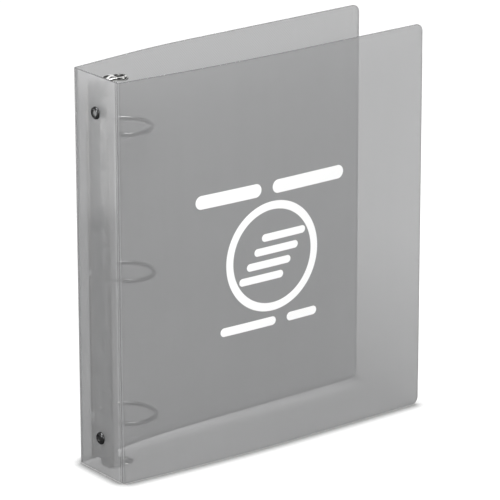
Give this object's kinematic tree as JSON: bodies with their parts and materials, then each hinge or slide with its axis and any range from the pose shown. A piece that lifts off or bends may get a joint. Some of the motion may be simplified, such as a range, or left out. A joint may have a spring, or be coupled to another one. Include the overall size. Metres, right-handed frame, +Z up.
{
  "type": "ring binder",
  "caption": "Translucent poly ring binder with living-hinge covers, a riveted steel round-ring mechanism and a finger trigger at each end.",
  "frame": {"origin": "middle of the spine panel's bottom edge, halfway through the sheet's thickness, which stands on the table", "axes": "+Z up along the spine, the longest side; +X from the spine to the free edges of the covers; -Y the front cover's side and +Y the back cover's side"},
  "size_m": [0.2748, 0.0781, 0.298],
  "materials": {
    "smoke_poly": "translucent smoke polypropylene, lightly embossed",
    "nickel_plate": "nickel plated sheet steel, bright",
    "rail_steel": "zinc plated strip, dull",
    "ring_wire": "nickel plated wire, polished",
    "rivet_nickel": "nickel plated, dark in its dish"
  },
  "bodies": {
    "spine": {"spine_panel": "smoke_poly", "front_hinge_web": "smoke_poly", "back_hinge_web": "smoke_poly", "mechanism_housing": "nickel_plate", "top_trigger_pin": "rail_steel", "bottom_trigger_pin": "rail_steel", "top_rivet": "rivet_nickel", "bottom_rivet": "rivet_nickel"},
    "front_cover": {"front_cover": "smoke_poly"},
    "back_cover": {"back_cover": "smoke_poly"},
    "front_rail": {"front_carrier_rail": "rail_steel", "ring_front_top": "ring_wire", "ring_front_middle": "ring_wire", "ring_front_bottom": "ring_wire"},
    "back_rail": {"back_carrier_rail": "rail_steel", "ring_back_top": "ring_wire", "ring_back_middle": "ring_wire", "ring_back_bottom": "ring_wire"},
    "top_trigger": {"top_trigger": "nickel_plate"},
    "bottom_trigger": {"bottom_trigger": "nickel_plate"}
  },
  "joints": [
    {"name": "front_cover_hinge", "type": "hinge", "parent": "spine", "child": "front_cover", "pos_m": [0.00007, -0.02663, 0.149], "axis": [0, 0, -1], "range_deg": [-1, 176], "deforming": ["front_hinge_web"]},
    {"name": "back_cover_hinge", "type": "hinge", "parent": "spine", "child": "back_cover", "pos_m": [0.00007, 0.02663, 0.149], "axis": [0, 0, 1], "range_deg": [-6, 171], "deforming": ["back_hinge_web"]},
    {"name": "front_rail_rock", "type": "hinge", "parent": "spine", "child": "front_rail", "pos_m": [0.0031, -0.0126, 0.149], "axis": [0, 0, -1], "range_deg": [0, 9]},
    {"name": "back_rail_rock", "type": "hinge", "parent": "spine", "child": "back_rail", "pos_m": [0.0031, 0.0126, 0.149], "axis": [0, 0, 1], "range_deg": [0, 9]},
    {"name": "top_trigger_pivot", "type": "hinge", "parent": "spine", "child": "top_trigger", "pos_m": [0.0037, 0, 0.2866], "axis": [0, -1, 0], "range_deg": [0, 19.8]},
    {"name": "bottom_trigger_pivot", "type": "hinge", "parent": "spine", "child": "bottom_trigger", "pos_m": [0.0037, 0, 0.0114], "axis": [0, 1, 0], "range_deg": [0, 19.8]}
  ],
  "couplings": [
    {"joint": "back_rail_rock", "follows": "front_rail_rock", "ratio": 1},
    {"joint": "top_trigger_pivot", "follows": "front_rail_rock", "ratio": 2.2},
    {"joint": "bottom_trigger_pivot", "follows": "front_rail_rock", "ratio": 2.2}
  ]
}
